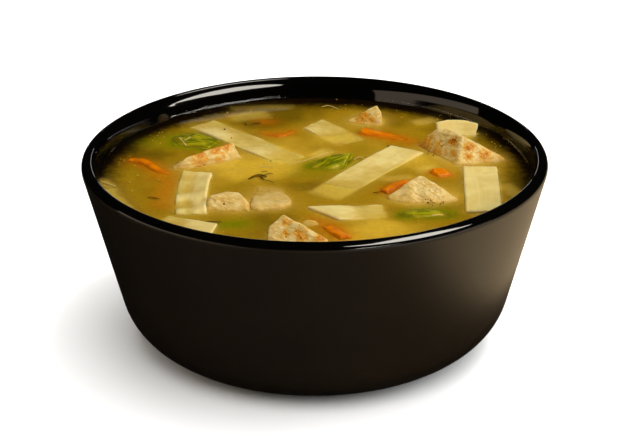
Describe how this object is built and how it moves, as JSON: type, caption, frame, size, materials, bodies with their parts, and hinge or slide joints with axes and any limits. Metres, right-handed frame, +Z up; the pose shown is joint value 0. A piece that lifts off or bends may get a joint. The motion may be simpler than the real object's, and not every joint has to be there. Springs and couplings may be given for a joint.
{
  "type": "chicken noodle soup",
  "caption": "Chicken noodle soup in a black tapered bowl: flat noodles, cut chicken, carrot and celery floating in golden broth.",
  "frame": {"origin": "centre of the bowl's foot, on the surface it stands on", "axes": "+Z up along the bowl's axis, -Y towards the front of the bowl as it is served, +X to its right"},
  "size_m": [0.152, 0.152, 0.0641],
  "materials": {
    "bowl_glaze": "black stoneware glaze, high gloss inside and over the lip, satin dark brown outside",
    "broth": "clear golden broth, wet and glossy",
    "noodle": "cooked egg noodle, wet and soft",
    "chicken": "white meat, fibrous, browned on its outer side",
    "carrot": "cooked orange carrot, wet",
    "celery": "cooked green celery with pale fibres, wet",
    "herb": "dark green dried herb",
    "pepper": "ground black pepper"
  },
  "bodies": {
    "root": {"bowl": "bowl_glaze", "broth": "broth", "noodle_long_left": "noodle", "noodle_back": "noodle", "noodle_long_middle": "noodle", "noodle_right": "noodle", "noodle_front": "noodle", "noodle_curved_left": "noodle", "noodle_edge_left": "noodle", "noodle_edge_front": "noodle", "noodle_back_left": "noodle", "noodle_curled_right": "noodle", "noodle_under_celery": "noodle", "chicken_browned_left": "chicken", "chicken_left": "chicken", "chicken_flaked": "chicken", "chicken_back": "chicken", "chicken_grilled": "chicken", "chicken_peak": "chicken", "chicken_front": "chicken", "chicken_crumb": "chicken", "carrot_stick_left": "carrot", "carrot_stick_back": "carrot", "carrot_stick_right": "carrot", "carrot_slice": "carrot", "carrot_stick_front": "carrot", "carrot_dice": "carrot", "celery_left": "celery", "celery_middle": "celery", "celery_front": "celery"}
  },
  "joints": []
}
